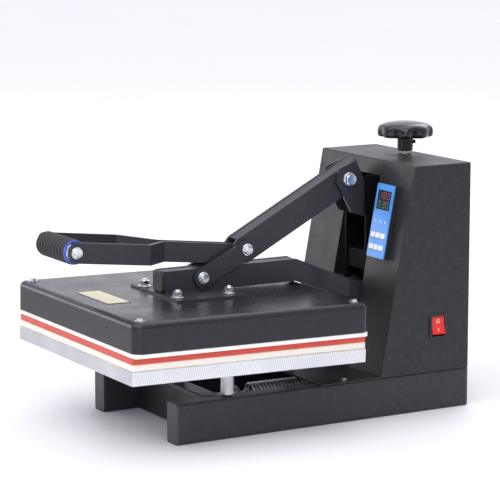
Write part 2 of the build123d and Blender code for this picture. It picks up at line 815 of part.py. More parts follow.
# ================================================================ rocker switch
rocker_pivot_x = tower_half - 8.0
rocker_tilt = 8.0
with BuildPart() as rocker_bezel:
    with BuildSketch(Plane.YZ.offset(tower_half)):
        with Locations(switch_spot):
            RectangleRounded(31.0, 38.5, 2.0)
    extrude(amount=2.0)
    with BuildSketch(Plane.YZ.offset(tower_half)):
        with Locations(switch_spot):
            Rectangle(27.0, 33.0)
    extrude(amount=-24.0)
    with BuildSketch(Plane.YZ.offset(tower_half + 2.0)):
        with Locations(switch_spot):
            Rectangle(22.8, 30.4)
    extrude(amount=-20.0, mode=Mode.SUBTRACT)
    with BuildSketch(facing_front(switch_spot[0] + 12.9)):
        with Locations((rocker_pivot_x, switch_spot[1])):
            Circle(1.5 + running_gap)
    extrude(amount=25.8, mode=Mode.SUBTRACT)
rocker_bezel.part.label = "rocker_bezel"
export_step(rocker_bezel.part, "parts/rocker_bezel.step")

with BuildPart() as rocker:
    with BuildSketch(facing_front(switch_spot[0] + 11.0)):
        with Locations(Location((rocker_pivot_x, switch_spot[1], 0), (0, 0, 1), rocker_tilt)):
            Polygon(
                (-3.0, -4.0),
                (4.0, -13.3),
                (10.4, -13.3),
                (8.6, 0.0),
                (10.4, 13.3),
                (4.0, 13.3),
                (-3.0, 4.0),
                align=None,
            )
    extrude(amount=22.0)
    with BuildSketch(facing_front(switch_spot[0] + 12.6)):
        with Locations((rocker_pivot_x, switch_spot[1])):
            Circle(1.5)
    extrude(amount=25.2)
rocker.part.label = "rocker"
export_step(rocker.part, "parts/rocker.step")

# ================================================================ pressure knob and screw
rod_bottom = 270.0
hub_bottom = 382.5
knob_bottom = 404.5
knob_top = 428.5
upper_collar_top = cheek_top + 8.0 + running_gap + 7.0
with BuildPart() as pressure_screw:
    for bottom, top, radius in (
        (rod_bottom, upper_collar_top, screw_radius),
        (upper_collar_top, knob_bottom, stud_radius),
        (cheek_top - running_gap - 7.0, cheek_top - running_gap, 14.0),
        (upper_collar_top - 7.0, upper_collar_top, 14.0),
    ):
        with BuildSketch(Plane.XY.offset(bottom)):
            with Locations((0, screw_axis_y)):
                Circle(radius)
        extrude(amount=top - bottom)
    chamfer(pressure_screw.faces().sort_by(Axis.Z)[0].edges(), length=1.2)
pressure_screw.part.label = "pressure_screw"
export_step(pressure_screw.part, "parts/pressure_screw.step")

with BuildPart() as knob_hub:
    with BuildSketch(Plane.XY.offset(hub_bottom)):
        with Locations((0, screw_axis_y)):
            Circle(12.0)
            Circle(stud_radius, mode=Mode.SUBTRACT)
    extrude(amount=knob_bottom - hub_bottom)
knob_hub.part.label = "knob_hub"
export_step(knob_hub.part, "parts/knob_hub.step")

with BuildPart() as knob_cap:
    with BuildSketch(Plane.XY.offset(knob_bottom)) as star:
        with Locations((0, screw_axis_y)):
            Circle(35.0)
            with PolarLocations(31.5, 8):
                Circle(knob_diameter / 2 - 31.5)
        fillet(star.vertices(), radius=3.0)
    extrude(amount=knob_top - knob_bottom)
    fillet(knob_cap.faces().sort_by(Axis.Z)[-1].edges(), radius=5.0)
    fillet(knob_cap.faces().sort_by(Axis.Z)[0].edges(), radius=2.0)
knob_cap.part.label = "knob_cap"
export_step(knob_cap.part, "parts/knob_cap.step")

# ================================================================ clevis
ear_inner = 16.0
ear_outer = ear_inner + flat_bar
with BuildPart() as clevis_ears:
    for sign in (-1, 1):
        with BuildSketch(Plane.YZ.offset(sign * ear_inner)) as ear_outline:
            with BuildLine():
                Polyline(
                    (behind(337.4), 342.4),
                    (behind(339.5), 363.8),
                    (behind(372.2), 376.5),
                    (behind(377.5), 359.4),
                    (behind(385.6), 347.0),
                    (behind(396.0), 338.0),
                    (behind(490.0), 338.0),
                    (behind(490.0), 289.0),
                    (behind(385.0), 288.7),
                    (behind(363.9), 296.2),
                    (behind(345.4), 329.1),
                    close=True,
                )
            make_face()
            nose = ear_outline.vertices().filter_by(lambda v: v.Y < behind(373.0) and v.Z > 340.0)
            fillet(nose, radius=6.0)
            with Locations(clevis_pivot):
                Circle(5.0, mode=Mode.SUBTRACT)
        extrude(amount=sign * flat_bar)
clevis_ears.part.label = "clevis_ears"
export_step(clevis_ears.part, "parts/clevis_ears.step")

with BuildPart() as nut_block:
    with BuildSketch(Plane.XY.offset(293.0)):
        with Locations((0, screw_axis_y - 2.5)):
            Rectangle(2 * ear_inner, 35.0)
        with Locations((0, screw_axis_y)):
            Circle(screw_radius + running_gap, mode=Mode.SUBTRACT)
    extrude(amount=32.0)
nut_block.part.label = "nut_block"
export_step(nut_block.part, "parts/nut_block.step")

with BuildPart() as clevis_bolt:
    with BuildSketch(Plane.YZ.offset(-ear_outer)):
        with Locations(clevis_pivot):
            Circle(5.0)
    extrude(amount=2 * ear_outer)
    for sign in (-1, 1):
        spot = Plane(origin=(sign * ear_outer, *clevis_pivot), x_dir=(0, 1, 0), z_dir=(sign, 0, 0))
        hex_bolt(spot, 0, 17.0, 6.4, 10.5)
clevis_bolt.part.label = "clevis_bolt"
export_step(clevis_bolt.part, "parts/clevis_bolt.step")

# ================================================================ lever and handle
lever_reach = hypot(clevis_pivot[0] - lever_pin[0], clevis_pivot[1] - lever_pin[1])
lever_rise = degrees(atan2(clevis_pivot[1] - lever_pin[1], clevis_pivot[0] - lever_pin[0]))
lever_end = lever_reach + 26.3
lever_half_depth = lever_depth / 2


def lever_plane(x):
    """Plane of the lever at x, local X from the link pin towards the clevis pin."""
    rise = radians(lever_rise)
    return Plane(origin=(x, *lever_pin), x_dir=(0, cos(rise), sin(rise)), z_dir=(1, 0, 0))


with BuildPart() as lever_sides:
    for sign in (-1, 1):
        with BuildSketch(lever_plane(sign * (lever_half_width - flat_bar))):
            Circle(lever_half_depth)
            with Locations((lever_end / 2, 0)):
                Rectangle(lever_end, lever_depth)
            with Locations((lever_reach, 0)):
                Circle(5.0 + running_gap, mode=Mode.SUBTRACT)
        extrude(amount=sign * flat_bar)
lever_sides.part.label = "lever_sides"
export_step(lever_sides.part, "parts/lever_sides.step")

web_half = lever_half_width - flat_bar
with BuildPart() as lever_web:
    with BuildSketch(lever_plane(-web_half)):
        with BuildLine():
            Polyline(
                (-4.0, lever_half_depth - 0.6),
                (lever_end, lever_half_depth - 0.6),
                (lever_end, lever_half_depth - 4.6),
                (-4.0, lever_half_depth - 4.6),
                close=True,
            )
        make_face()
    extrude(amount=2 * web_half)
lever_web.part.label = "lever_web"
export_step(lever_web.part, "parts/lever_web.step")

bar_inner = grip_half_length
bar_outer = bar_inner + flat_bar
stem_inner = lever_half_width - 2 * flat_bar
stem_outer = stem_inner + flat_bar
bend_front = behind(0.0)
bend_back = bend_front + bar_outer - stem_outer
bend_shift = flat_bar * (2**0.5 - 1)
stem_back = behind(190.0)
bar_nose = 9.5
with BuildPart() as handle_bars:
    with BuildSketch(Plane.XY.offset(200.0)) as bar_plan:
        for sign in (-1, 1):
            with BuildLine():
                Polyline(
                    (sign * bar_outer, grip_axis[0] - 20.0),
                    (sign * bar_outer, bend_front),
                    (sign * stem_outer, bend_back),
                    (sign * stem_outer, stem_back),
                    (sign * stem_inner, stem_back),
                    (sign * stem_inner, bend_back - bend_shift),
                    (sign * bar_inner, bend_front - bend_shift),
                    (sign * bar_inner, grip_axis[0] - 20.0),
                    close=True,
                )
            make_face()
        bends = bar_plan.vertices().filter_by(lambda v: bend_front - 10 < v.Y < bend_back + 10)
        fillet(bends, radius=6.0)
    extrude(amount=120.0)
    with BuildSketch(Plane.YZ):
        with Locations(Location((*grip_axis, 0), (0, 0, 1), -handle_fall)):
            with Locations((160.0 - bar_nose, 0)):
                RectangleRounded(320.0, handle_bar_height, 8.5)
            Circle(4.0, mode=Mode.SUBTRACT)
        with BuildLine():
            Polyline(
                (behind(141.0), 234.5),
                (behind(230.0), 234.5),
                (behind(230.0), 210.0),
                (behind(141.0), 210.0),
                close=True,
            )
        make_face(mode=Mode.SUBTRACT)
    extrude(amount=2 * bar_outer, both=True, mode=Mode.INTERSECT)
handle_bars.part.label = "handle_bars"
export_step(handle_bars.part, "parts/handle_bars.step")


def across_grip(half_length):
    """Plane across the grip axis at one end of a length centred on the machine."""
    return Plane(origin=(-half_length, *grip_axis), x_dir=(0, 1, 0), z_dir=(1, 0, 0))


ring_width = 2.2
ring_radius = {1: 17.4, -1: 14.0}
washer_width = 1.0
ring_end = grip_half_length - washer_width
with BuildPart() as grip_tube:
    with BuildSketch(across_grip(grip_half_length)):
        Circle(11.0)
        Circle(4.0, mode=Mode.SUBTRACT)
    extrude(amount=2 * grip_half_length)
grip_tube.part.label = "grip_tube"
export_step(grip_tube.part, "parts/grip_tube.step")

with BuildPart() as grip_foam:
    with BuildSketch(across_grip(ring_end - ring_width)):
        Circle(grip_diameter / 2)
    extrude(amount=2 * (ring_end - ring_width))
    fillet(grip_foam.edges().filter_by(GeomType.CIRCLE), radius=2.5)
    with BuildSketch(across_grip(ring_end - ring_width)):
        Circle(11.0)
    extrude(amount=2 * (ring_end - ring_width), mode=Mode.SUBTRACT)
grip_foam.part.label = "grip_foam"
export_step(grip_foam.part, "parts/grip_foam.step")

with BuildPart() as grip_rings:
    for sign in (-1, 1):
        with BuildSketch(across_grip(-sign * ring_end)):
            Circle(ring_radius[sign])
            Circle(11.0, mode=Mode.SUBTRACT)
        extrude(amount=-sign * ring_width)
grip_rings.part.label = "grip_rings"
export_step(grip_rings.part, "parts/grip_rings.step")

with BuildPart() as grip_bolts:
    with BuildSketch(across_grip(bar_outer)):
        Circle(4.0)
    extrude(amount=2 * bar_outer)
    for sign in (-1, 1):
        with BuildSketch(across_grip(-sign * ring_end)):
            Circle(14.0)
            Circle(11.0, mode=Mode.SUBTRACT)
        extrude(amount=sign * washer_width)
        spot = Plane(origin=(sign * bar_outer, *grip_axis), x_dir=(0, 1, 0), z_dir=(sign, 0, 0))
        hex_bolt(spot, 0, 13.0, 5.0, 8.5)
grip_bolts.part.label = "grip_bolts"
export_step(grip_bolts.part, "parts/grip_bolts.step")

# ================================================================ links
link_inner = arm_half_width + plate_gap
link_outer = link_inner + flat_bar
link_length = hypot(lever_pin[0] - arm_pin[0], lever_pin[1] - arm_pin[1])
link_rise = degrees(atan2(lever_pin[1] - arm_pin[1], lever_pin[0] - arm_pin[0]))
link_middle = ((arm_pin[0] + lever_pin[0]) / 2, (arm_pin[1] + lever_pin[1]) / 2)
with BuildPart() as link_plates:
    for sign in (-1, 1):
        with BuildSketch(Plane.YZ.offset(sign * link_inner)):
            with Locations(Location((*link_middle, 0), (0, 0, 1), link_rise)):
                SlotCenterToCenter(link_length, link_width)
            with Locations(arm_pin, lever_pin):
                Circle(5.0, mode=Mode.SUBTRACT)
        extrude(amount=sign * flat_bar)
link_plates.part.label = "link_plates"
export_step(link_plates.part, "parts/link_plates.step")

with BuildPart() as link_bolts:
    with BuildSketch(Plane.YZ.offset(-link_outer)):
        with Locations(arm_pin):
            Circle(5.0)
    extrude(amount=2 * link_outer)
    for sign in (-1, 1):
        with BuildSketch(Plane.YZ.offset(sign * link_inner)):
            with Locations(lever_pin):
                Circle(5.0)
        extrude(amount=sign * flat_bar)
        for pin in (arm_pin, lever_pin):
            spot = Plane(origin=(sign * link_outer, *pin), x_dir=(0, 1, 0), z_dir=(sign, 0, 0))
            hex_bolt(spot, 0, 13.0, 5.3, 9.0)
link_bolts.part.label = "link_bolts"
export_step(link_bolts.part, "parts/link_bolts.step")
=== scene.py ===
"""Clamshell heat press: the looks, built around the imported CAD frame. Metres throughout."""

import json
import math

import bmesh
import bpy
from mathutils import Matrix, Vector, noise


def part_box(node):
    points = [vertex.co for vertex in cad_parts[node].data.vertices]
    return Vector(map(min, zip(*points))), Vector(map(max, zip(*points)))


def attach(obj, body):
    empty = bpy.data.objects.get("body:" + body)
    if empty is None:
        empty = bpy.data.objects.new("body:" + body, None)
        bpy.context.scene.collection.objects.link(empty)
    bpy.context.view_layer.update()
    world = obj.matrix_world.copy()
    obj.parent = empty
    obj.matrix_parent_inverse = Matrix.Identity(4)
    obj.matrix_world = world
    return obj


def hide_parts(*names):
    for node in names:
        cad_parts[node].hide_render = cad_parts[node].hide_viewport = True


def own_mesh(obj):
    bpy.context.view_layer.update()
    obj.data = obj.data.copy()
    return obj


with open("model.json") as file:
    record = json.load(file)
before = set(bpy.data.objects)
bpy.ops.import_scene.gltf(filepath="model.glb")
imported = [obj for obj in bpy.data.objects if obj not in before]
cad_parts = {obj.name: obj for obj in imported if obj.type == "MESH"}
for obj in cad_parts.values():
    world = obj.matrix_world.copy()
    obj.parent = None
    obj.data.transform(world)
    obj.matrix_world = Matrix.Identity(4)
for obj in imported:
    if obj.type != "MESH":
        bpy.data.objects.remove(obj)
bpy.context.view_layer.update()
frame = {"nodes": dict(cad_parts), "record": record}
cad = frame["nodes"]

MM = 0.001
LEAN = math.radians(10.55)  # the tower's front leans back by this much


# ------------------------------------------------------------------ small helpers
def middle(node):
    """Middle of a CAD node's box."""
    low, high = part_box(node)
    return (Vector(low) + Vector(high)) / 2


def new_object(name, mesh, body=None):
    """Links a mesh as an object and lets it ride on a CAD body."""
    obj = bpy.data.objects.new(name, mesh)
    bpy.context.scene.collection.objects.link(obj)
    if body:
        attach(obj, body)
    return obj


def from_bmesh(name, shape, body=None, smooth_angle=35.0):
    """Finishes a bmesh as a smooth-shaded object with sharp creases above an angle."""
    mesh = bpy.data.meshes.new(name)
    bmesh.ops.recalc_face_normals(shape, faces=shape.faces)
    shape.to_mesh(mesh)
    shape.free()
    shade_smooth(mesh, smooth_angle)
    return new_object(name, mesh, body)


def shade_smooth(mesh, angle=35.0):
    """Smooth shading that stays sharp where faces meet above an angle in degrees."""
    for polygon in mesh.polygons:
        polygon.use_smooth = True
    mesh.set_sharp_from_angle(angle=math.radians(angle))


def round_edges(obj, width):
    """Breaks the hard edges of a plate or block by a narrow bevel."""
    bevel = obj.modifiers.new("edges", "BEVEL")
    bevel.width = width
    bevel.segments = 2
    bevel.limit_method = "ANGLE"
    bevel.angle_limit = math.radians(40.0)
    bevel.harden_normals = True
    bevel.use_clamp_overlap = True


def lathe(name, profile, place, body, turns, smooth_angle):
    """Turns a closed (radius, height) outline about the Z axis of a placement matrix."""
    shape = bmesh.new()
    rings = []
    for step in range(turns):
        angle = 2 * math.pi * step / turns
        ring = [
            shape.verts.new(place @ Vector((r * math.cos(angle), r * math.sin(angle), h)))
            for r, h in profile
        ]
        rings.append(ring)
    for step in range(turns):
        here, beyond = rings[step], rings[(step + 1) % turns]
        for i in range(len(profile)):
            j = (i + 1) % len(profile)
            shape.faces.new((here[i], here[j], beyond[j], beyond[i]))
    bmesh.ops.remove_doubles(shape, verts=shape.verts, dist=1e-6)
    return from_bmesh(name, shape, body, smooth_angle)


def along(origin, z_axis, x_hint=(1, 0, 0)):
    """Placement matrix at origin whose Z runs along z_axis and X near x_hint."""
    z = Vector(z_axis).normalized()
    x = Vector(x_hint) - z * Vector(x_hint).dot(z)
    x.normalize()
    y = z.cross(x)
    turn = Matrix((x, y, z)).transposed()
    return Matrix.Translation(Vector(origin)) @ turn.to_4x4()


def tube_along(name, points, radius, body, sides, closed=False):
    """Round wire through points, turned smoothly from one point to the next."""
    count = len(points)
    shape = bmesh.new()
    rings = []
    tangent = (points[1] - points[0]).normalized()
    normal = tangent.orthogonal().normalized()
    for i, point in enumerate(points):
        if closed:
            new_tangent = (points[(i + 1) % count] - points[i - 1]).normalized()
        else:
            new_tangent = (points[min(i + 1, count - 1)] - points[max(i - 1, 0)]).normalized()
        normal = (normal - new_tangent * normal.dot(new_tangent)).normalized()
        side = new_tangent.cross(normal)
        rings.append([
            shape.verts.new(point + radius * (
                math.cos(2 * math.pi * k / sides) * normal + math.sin(2 * math.pi * k / sides) * side
            ))
            for k in range(sides)
        ])
    for i in range(count if closed else count - 1):
        here, beyond = rings[i], rings[(i + 1) % count]
        for k in range(sides):
            shape.faces.new((here[k], here[(k + 1) % sides], beyond[(k + 1) % sides], beyond[k]))
    if not closed:
        shape.faces.new(rings[0])
        shape.faces.new(list(reversed(rings[-1])))
    return from_bmesh(name, shape, body, 60.0)


# ------------------------------------------------------------------ materials
class Look:
    """A procedural material: a Principled surface with its node tree at hand."""

    def __init__(self, name, colour, roughness, metallic=0.0):
        self.material = bpy.data.materials.new(name)
        self.material.use_nodes = True
        self.tree = self.material.node_tree
        self.surface = self.tree.nodes["Principled BSDF"]
        self.colour = colour
        self.surface.inputs["Base Color"].default_value = (*colour, 1)
        self.surface.inputs["Roughness"].default_value = roughness
        self.surface.inputs["Metallic"].default_value = metallic
        self.place = self.tree.nodes.new("ShaderNodeTexCoord").outputs["Object"]
        self.height = None

    def node(self, kind, **values):
        """New node with its properties and unlinked inputs set."""
        made = self.tree.nodes.new(kind)
        for key, value in values.items():
            if key in made.inputs.keys():
                made.inputs[key].default_value = value
            else:
                setattr(made, key, value)
        return made

    def link(self, output, target):
        self.tree.links.new(output, target)

    def stretched(self, scale, turn=(0, 0, 0)):
        """Object coordinates scaled and turned, for grain that runs one way."""
        mapping = self.node("ShaderNodeMapping")
        mapping.inputs["Scale"].default_value = scale
        mapping.inputs["Rotation"].default_value = turn
        self.link(self.place, mapping.inputs["Vector"])
        return mapping.outputs["Vector"]

    def noise(self, scale, detail=2.0, roughness=0.5, place=None):
        made = self.node("ShaderNodeTexNoise", Scale=scale, Detail=detail, Roughness=roughness)
        self.link(place or self.place, made.inputs["Vector"])
        return made.outputs["Fac"]

    def cells(self, scale):
        made = self.node("ShaderNodeTexVoronoi", Scale=scale)
        self.link(self.place, made.inputs["Vector"])
        return made.outputs["Distance"]

    def ramp(self, factor, stops):
        """Colour ramp from (position, colour) stops."""
        made = self.node("ShaderNodeValToRGB")
        band = made.color_ramp
        band.elements[0].position, band.elements[0].color = stops[0][0], (*stops[0][1], 1)
        band.elements[1].position, band.elements[1].color = stops[-1][0], (*stops[-1][1], 1)
        for position, colour in stops[1:-1]:
            band.elements.new(position).color = (*colour, 1)
        self.link(factor, made.inputs["Fac"])
        return made.outputs["Color"]

    def fitted(self, factor, low, high, from_low=0.0, from_high=1.0):
        """Factor mapped onto a range."""
        made = self.node("ShaderNodeMapRange")
        limits = {"From Min": from_low, "From Max": from_high, "To Min": low, "To Max": high}
        for key, value in limits.items():
            made.inputs[key].default_value = value
        self.link(factor, made.inputs["Value"])
        return made.outputs["Result"]

    def mixed(self, factor, first, second, blend="MIX"):
        """Two colours mixed; each is a colour or a socket."""
        made = self.node("ShaderNodeMix", data_type="RGBA", blend_type=blend)
        if hasattr(factor, "links"):
            self.link(factor, made.inputs[0])
        else:
            made.inputs[0].default_value = factor
        for socket, value in ((made.inputs[6], first), (made.inputs[7], second)):
            if hasattr(value, "links"):
                self.link(value, socket)
            else:
                socket.default_value = (*value, 1)
        return made.outputs[2]

    def mottle(self, scale, amount, detail=3.0):
        """Slight light and dark variation of the base colour."""
        fac = self.noise(scale, detail, 0.6)
        dark = tuple(c * (1 - amount) for c in self.colour)
        light = tuple(min(1.0, c * (1 + amount)) for c in self.colour)
        shade = self.ramp(fac, [(0.3, dark), (0.7, light)])
        self.paint(shade)
        return shade

    def paint(self, colour_socket):
        self.link(colour_socket, self.surface.inputs["Base Color"])

    def vary_roughness(self, scale, low, high):
        fac = self.noise(scale, 3.0, 0.6)
        self.link(self.fitted(fac, low, high, 0.25, 0.75), self.surface.inputs["Roughness"])

    def bump(self, height, strength, distance):
        """Adds a height field to the surface; later ones sit on top of earlier ones."""
        made = self.node("ShaderNodeBump", Strength=strength, Distance=distance)
        self.link(height, made.inputs["Height"])
        if self.height:
            self.link(self.height, made.inputs["Normal"])
        self.height = made.outputs["Normal"]
        self.link(self.height, self.surface.inputs["Normal"])

    def finish(self, **values):
        """Sets plain numbers on the surface's own sockets."""
        for key, value in values.items():
            self.surface.inputs[key.replace("_", " ")].default_value = value
        return self.material


def powder_coat(name, colour, roughness=0.42, grain=1500.0, depth=0.22, speckle=0.12, ior=1.42):
    """Fine-textured powder coat with faint handling marks."""
    look = Look(name, colour, roughness)
    look.mottle(140.0, speckle, 5.0)
    look.vary_roughness(22.0, roughness - 0.06, roughness + 0.09)
    look.bump(look.noise(grain, 3.0, 0.6), depth, 0.00035)
    look.bump(look.noise(grain * 0.18, 2.0, 0.5), depth * 0.35, 0.0006)
    return look.finish(IOR=ior)


def zinc_plate(name, colour=(0.70, 0.73, 0.77)):
    """Bright zinc plating, slightly blue and slightly uneven."""
    look = Look(name, colour, 0.24, 1.0)
    look.mottle(160.0, 0.16)
    look.vary_roughness(240.0, 0.16, 0.36)
    look.bump(look.noise(1800.0, 2.0, 0.5), 0.08, 0.0002)
    return look.finish()


def moulded_plastic(name, colour, roughness=0.35, grain=900.0, depth=0.12):
    look = Look(name, colour, roughness)
    look.mottle(40.0, 0.06)
    look.vary_roughness(60.0, roughness - 0.05, roughness + 0.08)
    look.bump(look.noise(grain, 2.0, 0.5), depth, 0.0002)
    return look.finish(IOR=1.48)


COARSE = {"roughness": 0.40, "grain": 1100.0, "depth": 0.30}
paint = {
    "powder": powder_coat("black powder coat", (0.019, 0.019, 0.022), speckle=0.30, **COARSE),
    "powder_side": powder_coat("black powder coat, arm", (0.027, 0.027, 0.034), 0.36),
    # Rails: the same black powder coat painted a little lighter, as painted light.
    "powder_rail_painted_light": powder_coat("black powder coat, rails", (0.026, 0.026, 0.030), speckle=0.20, **COARSE),
    # Tower inside: the same powder coat painted near black, as painted shade.
    "powder_inner_painted_shade": powder_coat("black powder coat, inner", (0.003, 0.003, 0.0035), 0.6, ior=1.2),
    "cover": powder_coat("semi-gloss black paint", (0.015, 0.015, 0.020), 0.24, 500.0, 0.06),
    "zinc": zinc_plate("bright zinc"),
    "cap": moulded_plastic("dark grey cap plastic", (0.042, 0.042, 0.047), 0.45),
    "plastic": moulded_plastic("black plastic", (0.016, 0.016, 0.018), 0.42),
    "gloss": moulded_plastic("glossy black phenolic", (0.010, 0.010, 0.012), 0.12, 300.0, 0.05),
    "blue": moulded_plastic("blue plastic", (0.045, 0.085, 0.50), 0.28),
    "panel": moulded_plastic("light blue overlay film", (0.075, 0.30, 0.80), 0.30, 1400.0, 0.10),
    "button": moulded_plastic("off-white button", (0.78, 0.83, 0.86), 0.32),
    "window": moulded_plastic("dark display window", (0.035, 0.036, 0.050), 0.10, 300.0, 0.02),
    "lamp": moulded_plastic("clear indicator", (0.62, 0.74, 0.88), 0.15),
    "rocker": moulded_plastic("red rocker plastic", (0.70, 0.020, 0.012), 0.22),
    "plate_border": moulded_plastic("dark plate border", (0.05, 0.045, 0.04), 0.35),
    "plate_field": moulded_plastic("pale gold plate", (0.66, 0.60, 0.44), 0.38),
    "digit_red": moulded_plastic("dim red segments", (0.34, 0.10, 0.08), 0.3),
    "digit_green": moulded_plastic("dim green segments", (0.15, 0.22, 0.15), 0.3),
}


def milled_aluminium(name):
    """Saw-milled plate edge: slanted cutter marks and duller patches, with painted shade on the faces
    turned to the front.
    """
    look = Look(name, (0.86, 0.87, 0.89), 0.36, 1.0)
    marks = look.stretched((150.0, 150.0, 52.0), (0.0, math.radians(35), math.radians(35)))
    wave = look.node("ShaderNodeTexWave", wave_type="BANDS", Scale=1.0, Distortion=2.5, Detail=2.0)
    look.link(marks, wave.inputs["Vector"])
    patches = look.noise(14.0, 4.0, 0.6)
    tone = look.ramp(patches, [
        (0.25, (0.76, 0.77, 0.79)), (0.55, (0.92, 0.93, 0.94)), (0.7, (1.0, 1.0, 1.0)),
    ])
    streak = look.ramp(wave.outputs["Fac"], [(0.0, (0.74, 0.75, 0.78)), (1.0, (1.0, 1.0, 1.0))])
    milled = look.mixed(0.8, tone, streak, "MULTIPLY")
    # Painted shade: faces turned to the front get a darker base colour.
    normal = look.node("ShaderNodeSeparateXYZ")
    look.link(look.node("ShaderNodeNewGeometry").outputs["Normal"], normal.inputs["Vector"])
    front = look.fitted(normal.outputs["Y"], 1.0, 0.0, -0.9, -0.4)
    front_painted_shade = look.mixed(0.9, tone, (0.44, 0.43, 0.45), "MULTIPLY")
    look.paint(look.mixed(look.fitted(front, 0.0, 0.55), milled, front_painted_shade))
    look.link(look.fitted(patches, 0.30, 0.55, 0.3, 0.7), look.surface.inputs["Roughness"])
    look.bump(wave.outputs["Fac"], 0.30, 0.0003)
    look.bump(look.noise(900.0, 2.0, 0.5, look.stretched((1.0, 1.0, 8.0))), 0.15, 0.0002)
    return look.finish()


def turned_aluminium(name):
    """Turned bar: fine rings round the post."""
    look = Look(name, (0.50, 0.51, 0.52), 0.34, 1.0)
    rings = look.noise(1.0, 2.0, 0.6, look.stretched((20.0, 20.0, 2600.0)))
    look.mottle(70.0, 0.12)
    look.vary_roughness(90.0, 0.26, 0.48)
    look.bump(rings, 0.25, 0.0002)
    return look.finish()


def heat_plate_edge(name):
    """Bright coated edge of the heat plate."""
    look = Look(name, (0.90, 0.88, 0.84), 0.45, 0.15)
    look.mottle(25.0, 0.05)
    look.bump(look.noise(600.0, 3.0, 0.6), 0.12, 0.0003)
    return look.finish()


def silicone(name):
    """Red silicone sponge: fine closed cells, dusty sheen."""
    look = Look(name, (0.66, 0.070, 0.045), 0.62)
    cells = look.cells(1500.0)
    speckle = look.ramp(cells, [
        (0.0, (0.52, 0.046, 0.030)), (0.45, (0.66, 0.070, 0.045)), (1.0, (0.76, 0.11, 0.075)),
    ])
    cloud = look.ramp(look.noise(30.0, 3.0), [(0.3, (0.88, 0.86, 0.86)), (0.7, (1.0, 1.0, 1.0))])
    look.paint(look.mixed(1.0, speckle, cloud, "MULTIPLY"))
    look.bump(cells, 0.35, 0.0003)
    look.bump(look.noise(120.0, 3.0), 0.25, 0.0006)
    return look.finish(Sheen_Weight=0.15)


def felt(name, colour=(0.86, 0.81, 0.73)):
    """Pressed felt: matted short fibres."""
    look = Look(name, colour, 0.9)
    fibres = look.noise(1.0, 5.0, 0.7, look.stretched((420.0, 420.0, 2200.0)))
    dark = tuple(c * 0.82 for c in colour)
    light = tuple(min(1, c * 1.12) for c in colour)
    tone = look.ramp(fibres, [(0.3, dark), (0.5, colour), (0.75, light)])
    look.paint(tone)
    look.bump(fibres, 0.6, 0.0008)
    look.bump(look.noise(60.0, 3.0), 0.4, 0.0012)
    return look.finish(Sheen_Weight=0.35)


def foam_rubber(name):
    """Black grip foam: closed cells, soft broad highlights."""
    look = Look(name, (0.010, 0.010, 0.011), 0.66)
    look.mottle(50.0, 0.18)
    look.bump(look.cells(1300.0), 0.28, 0.0003)
    look.bump(look.noise(260.0, 2.0), 0.15, 0.0005)
    return look.finish(Sheen_Weight=0.03)


def spring_wire(name):
    look = Look(name, (0.55, 0.56, 0.58), 0.32, 1.0)
    look.mottle(220.0, 0.2)
    look.vary_roughness(300.0, 0.22, 0.45)
    look.bump(look.noise(900.0, 2.0), 0.1, 0.0002)
    return look.finish()


def bare_steel(name):
    look = Look(name, (0.44, 0.44, 0.45), 0.34, 1.0)
    look.mottle(60.0, 0.15)
    look.vary_roughness(120.0, 0.25, 0.5)
    look.bump(look.noise(700.0, 3.0), 0.12, 0.0002)
    return look.finish()


paint["milled"] = milled_aluminium("milled aluminium plate")
paint["turned"] = turned_aluminium("turned aluminium")
paint["heat_plate"] = heat_plate_edge("heat plate edge")
paint["silicone"] = silicone("red silicone sponge")
paint["felt"] = felt("cream felt")
paint["insulation"] = felt("mineral fibre", (0.82, 0.80, 0.74))
paint["foam"] = foam_rubber("black grip foam")
paint["wire"] = spring_wire("spring wire")
paint["steel"] = bare_steel("bare steel")

NODE_PAINT = {
    "rail_left": "powder_rail_painted_light", "rail_right": "powder_rail_painted_light", "rail_end_caps": "cap",
    "front_cross_tube": "powder", "rear_cross_tube": "powder", "column_braces": "powder_inner_painted_shade",
    "deck_plate": "powder", "deck_screws": "zinc", "platen_posts": "turned",
    "lower_platen": "milled", "felt_pad": "felt", "silicone_pad": "silicone",
    "counter_spring": "wire", "spring_eyebolt": "zinc", "column_cheeks": "powder_inner_painted_shade",
    "column_top_plate": "powder_inner_painted_shade", "column_tie": "powder_inner_painted_shade", "tower_cover": "powder",
    "tower_back_panel": "powder", "power_inlet": "plastic", "panel_housing": "plastic",
    "panel_face": "panel", "display_window": "window", "indicator_lamps": "lamp",
    "rocker_bezel": "plastic", "heat_plate": "heat_plate", "head_cover": "cover",
    "cover_screws": "zinc", "heating_element": "steel", "insulation_pad": "insulation",
    "arm_bracket": "powder_side", "bracket_bolts": "zinc", "arm_sides": "powder_side",
    "arm_webs": "powder_side", "arm_end_cap": "plastic", "hinge_shaft": "steel",
    "tail_plates": "powder_side", "tail_rod": "zinc", "lever_sides": "powder_side",
    "lever_web": "powder_side", "handle_bars": "powder_side", "grip_tube": "steel",
    "grip_foam": "foam", "grip_rings": "blue", "grip_bolts": "zinc",
    "link_plates": "powder_side", "link_bolts": "zinc", "clevis_ears": "powder_side",
    "nut_block": "steel", "clevis_bolt": "zinc", "pressure_screw": "zinc",
    "knob_hub": "gloss", "knob_cap": "gloss", "rocker": "rocker",
}
for number in range(1, 7):
    NODE_PAINT[f"push_button_{number}"] = "button"

for name, obj in cad.items():
    obj.data.materials.clear()
    obj.data.materials.append(paint[NODE_PAINT[name]])

